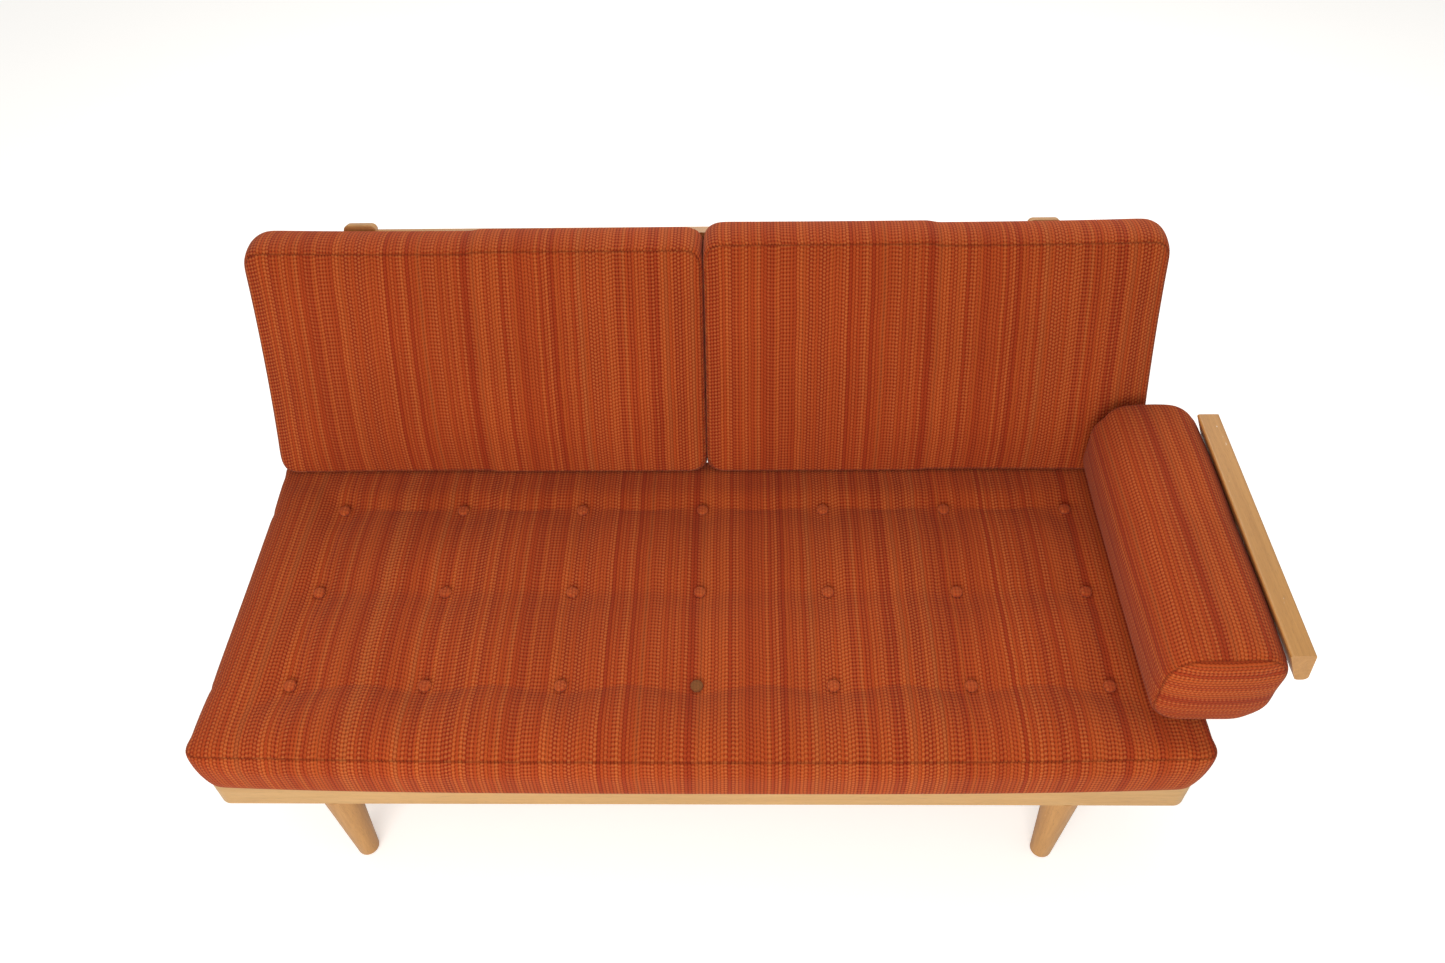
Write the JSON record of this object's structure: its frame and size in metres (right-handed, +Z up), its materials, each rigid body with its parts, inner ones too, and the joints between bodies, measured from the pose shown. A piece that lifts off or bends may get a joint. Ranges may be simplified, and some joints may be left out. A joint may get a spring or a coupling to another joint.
{
  "type": "daybed",
  "caption": "Wooden daybed with a buttoned mattress on turned legs, loose back cushions on a leaning lift-out backrest, and a bolster beside a lift-out armrest.",
  "frame": {"origin": "on the floor, under the middle of the overall box", "axes": "+X along the bed towards the armrest, +Y from the front to the backrest, +Z up"},
  "size_m": [2.005, 1.0156, 0.9312],
  "materials": {
    "beech": "satin lacquer",
    "golden_wood": "satin lacquer",
    "slat_wood": "planed, unfinished",
    "striped_wool": "coarse striped wool weave",
    "socket_steel": "satin black",
    "steel": "zinc plated",
    "glide": "matte"
  },
  "bodies": {
    "frame": {"front_rail": "beech", "rear_rail": "beech", "left_end_rail": "beech", "right_end_rail": "beech", "corner_block_front_left": "beech", "corner_block_front_right": "beech", "corner_block_rear_left": "beech", "corner_block_rear_right": "beech", "front_ledger": "beech", "rear_ledger": "beech", "leg_bearer_left": "beech", "leg_bearer_right": "beech", "middle_beam": "beech", "slat_01": "slat_wood", "slat_02": "slat_wood", "slat_03": "slat_wood", "slat_04": "slat_wood", "slat_05": "slat_wood", "slat_06": "slat_wood", "slat_07": "slat_wood", "slat_08": "slat_wood", "slat_09": "slat_wood", "slat_10": "slat_wood", "slat_11": "slat_wood", "slat_12": "slat_wood", "leg_front_left": "golden_wood", "leg_front_right": "golden_wood", "leg_rear_left": "golden_wood", "leg_rear_right": "golden_wood", "glide_front_left": "glide", "glide_front_right": "glide", "glide_rear_left": "glide", "glide_rear_right": "glide", "leg_studs": "steel", "bearer_screws": "steel", "slat_screws": "steel", "socket_screws": "steel", "back_socket_left": "socket_steel", "back_socket_right": "socket_steel", "arm_socket_front": "socket_steel", "arm_socket_rear": "socket_steel"},
    "backrest": {"back_post_left": "golden_wood", "back_post_right": "golden_wood", "back_top_rail": "golden_wood", "back_middle_rail": "golden_wood", "back_lower_rail": "golden_wood"},
    "armrest": {"arm_post_front": "golden_wood", "arm_post_rear": "golden_wood", "arm_rail": "golden_wood"},
    "mattress": {"mattress": "striped_wool", "mattress_buttons": "striped_wool", "mattress_tuft_discs": "glide"},
    "cushion_left": {"back_cushion_left": "striped_wool"},
    "cushion_right": {"back_cushion_right": "striped_wool"},
    "bolster": {"bolster": "striped_wool"}
  },
  "joints": [
    {"name": "mattress_lift", "type": "slide", "parent": "frame", "child": "mattress", "axis": [-0.5, 0, 0.866], "range_m": [0, 0.16]},
    {"name": "cushion_left_lift", "type": "slide", "parent": "mattress", "child": "cushion_left", "axis": [0, 0.342, 0.9397], "range_m": [0, 0.25]},
    {"name": "cushion_right_lift", "type": "slide", "parent": "mattress", "child": "cushion_right", "axis": [0, 0.342, 0.9397], "range_m": [0, 0.25]},
    {"name": "bolster_lift", "type": "slide", "parent": "mattress", "child": "bolster", "axis": [-0.5, 0, 0.866], "range_m": [0, 0.25]},
    {"name": "backrest_lift", "type": "slide", "parent": "frame", "child": "backrest", "axis": [0, 0.342, 0.9397], "range_m": [0, 0.1]},
    {"name": "armrest_lift", "type": "slide", "parent": "frame", "child": "armrest", "axis": [0.1392, 0, 0.9903], "range_m": [0, 0.1]}
  ]
}
